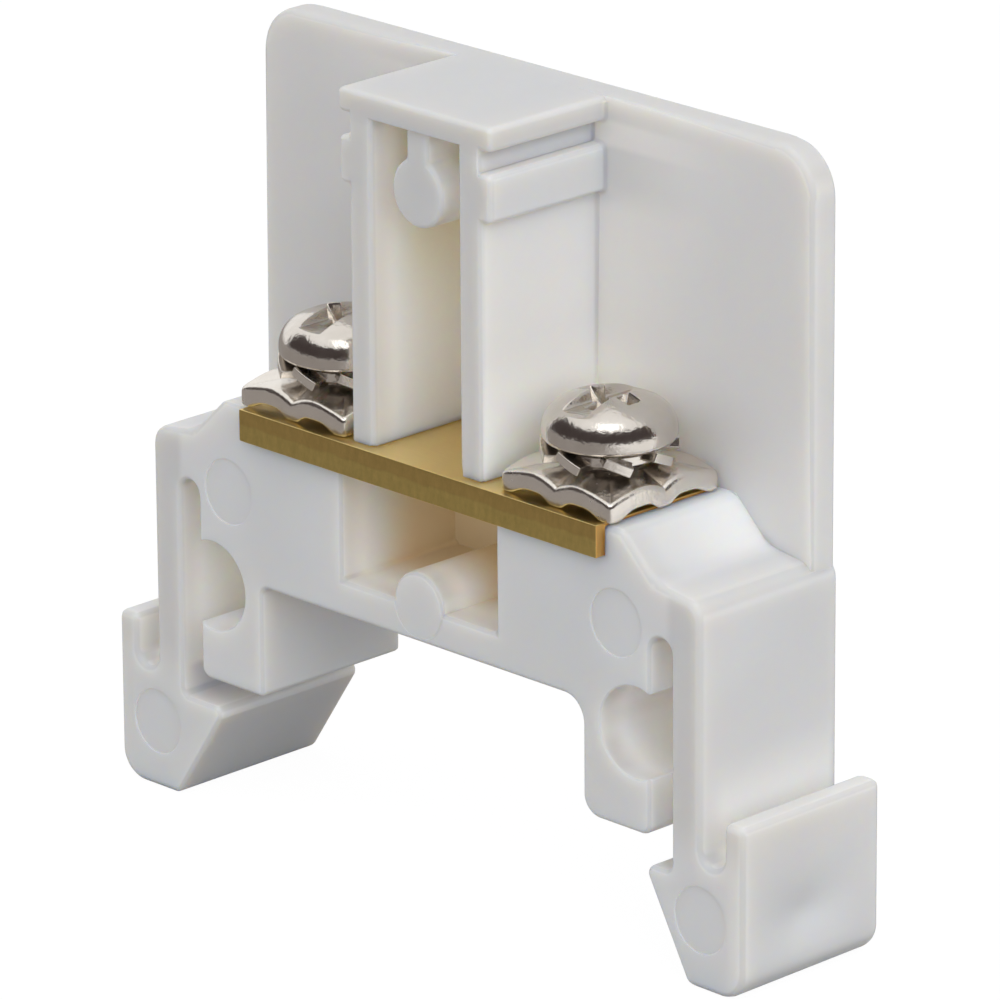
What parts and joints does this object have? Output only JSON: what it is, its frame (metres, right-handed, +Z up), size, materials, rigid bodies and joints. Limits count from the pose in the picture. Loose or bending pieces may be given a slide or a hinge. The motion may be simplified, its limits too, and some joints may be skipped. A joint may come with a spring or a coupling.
{
  "type": "terminal block",
  "caption": "Rail-mounted barrier terminal block: white moulded body with rear plate, marker tower and sprung hook legs, a brass bar and screws with tooth and square wave washers.",
  "frame": {"origin": "middle of the box over the whole block, on the surface it stands on", "axes": "+X along the bar, -Y to the open front, +Z up from the rail"},
  "size_m": [0.045, 0.0104, 0.041],
  "materials": {
    "housing_plastic": "satin moulded nylon, slightly translucent",
    "bar_brass": "rolled faces, sheared edges",
    "screw_plating": "bright nickel plating",
    "washer_plating": "nickel plating on pressed sheet"
  },
  "bodies": {
    "block": {"housing": "housing_plastic", "conductor_bar": "bar_brass"},
    "left_washers": {"square_washer_left": "washer_plating", "lock_washer_left": "washer_plating"},
    "left_screw": {"terminal_screw_left": "screw_plating"},
    "right_washers": {"square_washer_right": "washer_plating", "lock_washer_right": "washer_plating"},
    "right_screw": {"terminal_screw_right": "screw_plating"}
  },
  "joints": [
    {"name": "left_screw_lift", "type": "slide", "parent": "block", "child": "left_washers", "axis": [0, 0, 1], "range_m": [0, 0.0024]},
    {"name": "left_screw_turn", "type": "hinge", "parent": "left_washers", "child": "left_screw", "pos_m": [-0.00905, -0.00082, 0.02543], "axis": [0, 0, 1], "range_deg": [0, 1440]},
    {"name": "right_screw_lift", "type": "slide", "parent": "block", "child": "right_washers", "axis": [0, 0, 1], "range_m": [0, 0.0024]},
    {"name": "right_screw_turn", "type": "hinge", "parent": "right_washers", "child": "right_screw", "pos_m": [0.00975, -0.00082, 0.02543], "axis": [0, 0, 1], "range_deg": [0, 1440]}
  ],
  "couplings": [
    {"joint": "left_screw_turn", "follows": "left_screw_lift", "rad_per_m": 10472},
    {"joint": "right_screw_turn", "follows": "right_screw_lift", "rad_per_m": 10472}
  ]
}
